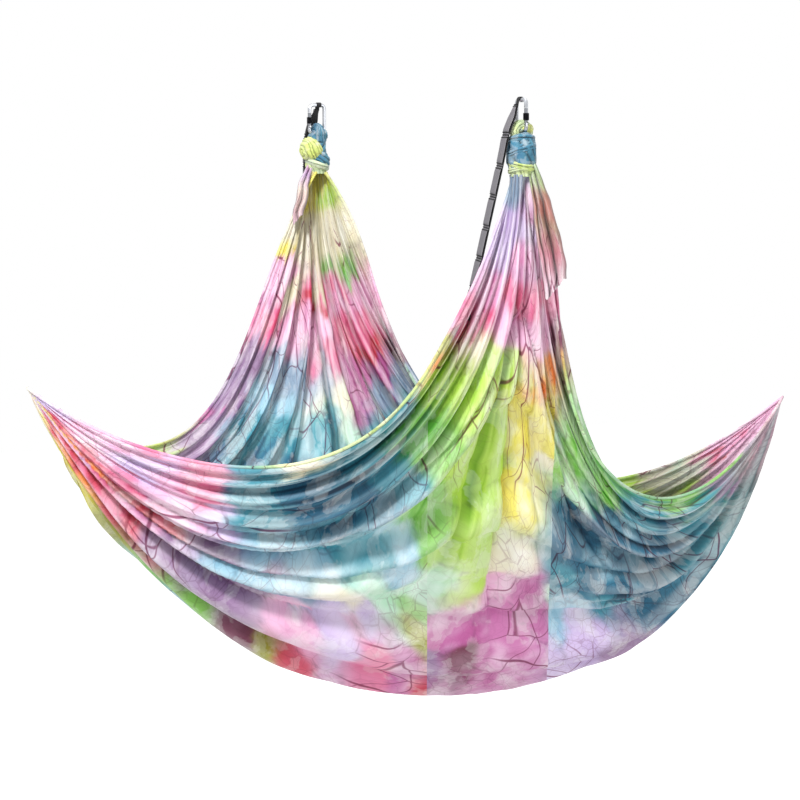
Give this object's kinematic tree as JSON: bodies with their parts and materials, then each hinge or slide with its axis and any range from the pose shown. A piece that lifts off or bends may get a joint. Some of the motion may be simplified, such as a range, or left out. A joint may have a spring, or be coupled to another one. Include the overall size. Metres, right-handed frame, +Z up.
{
  "type": "aerial hammock",
  "caption": "Wide stretch-cloth aerial hammock with drawn-out pointed ends, gathered into wrapped knots on screw-gate carabiners with daisy-chain webbing straps.",
  "frame": {"origin": "centre of the flat seat inside the crown of the front carabiner, where the hammock hangs on its front hook", "axes": "+Z up, +Y from the front hang point to the back one, +X from the left drawn-out tip towards the right one"},
  "size_m": [1.9424, 1.125, 1.4253],
  "materials": {
    "printed_cloth": "thin smooth stretch knit, printed in soft washes of colour, slight sheen",
    "hem_cloth": "rolled selvedge of the same knit, yellow-green",
    "front_knot_cloth": "tightly wrapped knit, blue with a yellow-green turn",
    "back_knot_cloth": "tightly wrapped knit, yellow with a blue turn",
    "front_tail_cloth": "loose gathered knit, green to brown to pink",
    "back_tail_cloth": "loose gathered knit, lilac",
    "carabiner_bar": "polished round bar",
    "carabiner_gate": "satin turned gate",
    "rivet": "plain pressed rivet",
    "screw_sleeve": "black anodised, fluted",
    "strap_core": "black woven webbing",
    "strap_pockets": "grey woven webbing with dark bar tacks"
  },
  "bodies": {
    "hammock": {"cloth_front_wall": "printed_cloth", "cloth_belly": "printed_cloth", "cloth_back_wall": "printed_cloth", "left_hem": "hem_cloth", "right_hem": "hem_cloth", "front_knot": "front_knot_cloth", "back_knot": "back_knot_cloth", "front_tail": "front_tail_cloth", "back_tail": "back_tail_cloth", "front_carabiner_body": "carabiner_bar", "back_carabiner_body": "carabiner_bar", "front_gate_rivet": "rivet", "back_gate_rivet": "rivet"},
    "front_gate": {"front_carabiner_gate": "carabiner_gate"},
    "front_sleeve": {"front_screw_sleeve": "screw_sleeve"},
    "front_strap": {"front_strap_core": "strap_core", "front_strap_pockets": "strap_pockets"},
    "back_gate": {"back_carabiner_gate": "carabiner_gate"},
    "back_sleeve": {"back_screw_sleeve": "screw_sleeve"},
    "back_strap": {"back_strap_core": "strap_core", "back_strap_pockets": "strap_pockets"}
  },
  "joints": [
    {"name": "front_gate_hinge", "type": "hinge", "parent": "hammock", "child": "front_gate", "pos_m": [0, -0.0135, -0.0493], "axis": [-1, 0, 0], "range_deg": [0, 25], "stiffness_Nm_per_rad": 0.3, "springref_deg": -20.05},
    {"name": "front_sleeve_slide", "type": "slide", "parent": "front_gate", "child": "front_sleeve", "axis": [0, 0, 1], "range_m": [0, 0.015]},
    {"name": "front_strap_swing", "type": "hinge", "parent": "hammock", "child": "front_strap", "pos_m": [0, 0.0115, 0.0037], "axis": [0, 1, 0], "range_deg": [0, 30]},
    {"name": "back_gate_hinge", "type": "hinge", "parent": "hammock", "child": "back_gate", "pos_m": [-0.0205, 1.007, -0.0493], "axis": [0, 1, 0], "range_deg": [0, 25], "stiffness_Nm_per_rad": 0.3, "springref_deg": -20.05},
    {"name": "back_sleeve_slide", "type": "slide", "parent": "back_gate", "child": "back_sleeve", "axis": [0, 0, 1], "range_m": [0, 0.015]},
    {"name": "back_strap_swing", "type": "hinge", "parent": "hammock", "child": "back_strap", "pos_m": [0.0045, 1.007, 0.0037], "axis": [1, 0, 0], "range_deg": [0, 30]}
  ]
}
